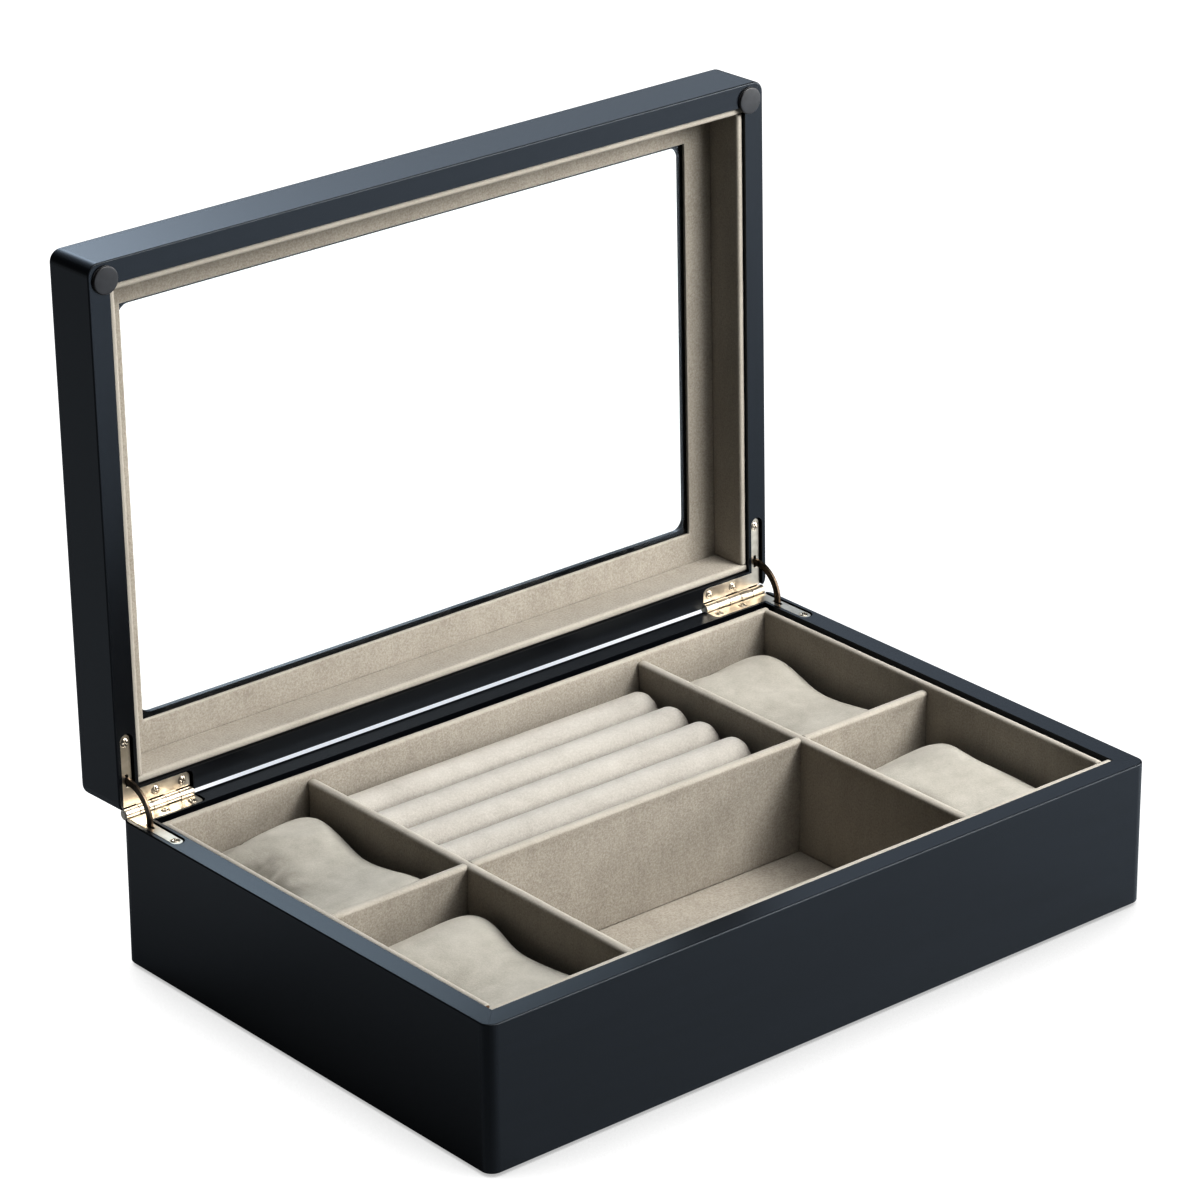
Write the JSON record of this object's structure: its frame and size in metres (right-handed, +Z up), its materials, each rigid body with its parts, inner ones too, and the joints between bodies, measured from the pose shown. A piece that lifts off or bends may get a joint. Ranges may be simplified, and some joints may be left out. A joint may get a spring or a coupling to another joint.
{
  "type": "valet box",
  "caption": "Lacquered wooden valet box with a glazed hinged lid, suede compartments, ring rolls and watch pillows.",
  "frame": {"origin": "middle of the case's footprint, on the plane that its four feet stand on", "axes": "+X along the long side towards the right, +Y from the front to the hinges, +Z up; the lid stands open"},
  "size_m": [0.324, 0.246, 0.2774],
  "materials": {
    "black_lacquer": "satin black lacquer",
    "suede_board": "taupe suede over board",
    "suede_roll": "taupe suede over foam",
    "suede_pillow": "taupe suede, stuffed",
    "glass": "clear, polished",
    "nickel": "polished nickel plate",
    "dark_steel": "dark spring steel",
    "black_rubber": "matt"
  },
  "bodies": {
    "case": {"base_back_lining": "suede_board", "base_back_wall": "black_lacquer", "base_bottom_panel": "black_lacquer", "base_feet": "black_rubber", "base_floor_lining": "suede_board", "base_front_lining": "suede_board", "base_front_wall": "black_lacquer", "base_hinge_screws": "nickel", "base_left_lining": "suede_board", "base_left_wall": "black_lacquer", "base_right_lining": "suede_board", "base_right_wall": "black_lacquer", "left_cross_divider": "suede_board", "left_hinge_base_leaf": "nickel", "left_hinge_pin": "nickel", "long_divider": "suede_board", "right_cross_divider": "suede_board", "right_hinge_base_leaf": "nickel", "right_hinge_pin": "nickel", "ring_roll_1": "suede_roll", "ring_roll_2": "suede_roll", "ring_roll_3": "suede_roll", "ring_roll_4": "suede_roll", "ring_roll_5": "suede_roll", "roll_tray": "suede_board"},
    "lid": {"glass_pane": "glass", "left_hinge_lid_leaf": "nickel", "lid_back_lining": "suede_board", "lid_back_wall": "black_lacquer", "lid_bumpers": "black_rubber", "lid_ceiling_lining": "suede_board", "lid_front_lining": "suede_board", "lid_front_wall": "black_lacquer", "lid_hinge_screws": "nickel", "lid_left_lining": "suede_board", "lid_left_wall": "black_lacquer", "lid_right_lining": "suede_board", "lid_right_wall": "black_lacquer", "lid_top_frame": "black_lacquer", "right_hinge_lid_leaf": "nickel"},
    "left_stay_arc": {"left_stay": "dark_steel"},
    "right_stay_arc": {"right_stay": "dark_steel"},
    "watch_pillow_back_left_body": {"watch_pillow_back_left": "suede_pillow"},
    "watch_pillow_back_right_body": {"watch_pillow_back_right": "suede_pillow"},
    "watch_pillow_front_left_body": {"watch_pillow_front_left": "suede_pillow"},
    "watch_pillow_front_right_body": {"watch_pillow_front_right": "suede_pillow"}
  },
  "joints": [
    {"name": "lid_hinge", "type": "hinge", "parent": "case", "child": "lid", "pos_m": [0, 0.1086, 0.06085], "axis": [-1, 0, 0], "range_deg": [-90.9, 0]},
    {"name": "left_stay_slide", "type": "hinge", "parent": "case", "child": "left_stay_arc", "pos_m": [0, 0.1086, 0.06085], "axis": [-1, 0, 0], "range_deg": [-45.45, 0]},
    {"name": "right_stay_slide", "type": "hinge", "parent": "case", "child": "right_stay_arc", "pos_m": [0, 0.1086, 0.06085], "axis": [-1, 0, 0], "range_deg": [-45.45, 0]},
    {"name": "lift_pillow_back_left", "type": "slide", "parent": "case", "child": "watch_pillow_back_left_body", "axis": [0, 0, 1], "range_m": [0, 0.055]},
    {"name": "lift_pillow_back_right", "type": "slide", "parent": "case", "child": "watch_pillow_back_right_body", "axis": [0, 0, 1], "range_m": [0, 0.055]},
    {"name": "lift_pillow_front_left", "type": "slide", "parent": "case", "child": "watch_pillow_front_left_body", "axis": [0, 0, 1], "range_m": [0, 0.055]},
    {"name": "lift_pillow_front_right", "type": "slide", "parent": "case", "child": "watch_pillow_front_right_body", "axis": [0, 0, 1], "range_m": [0, 0.055]}
  ],
  "couplings": [
    {"joint": "left_stay_slide", "follows": "lid_hinge", "ratio": 0.5},
    {"joint": "right_stay_slide", "follows": "lid_hinge", "ratio": 0.5}
  ]
}
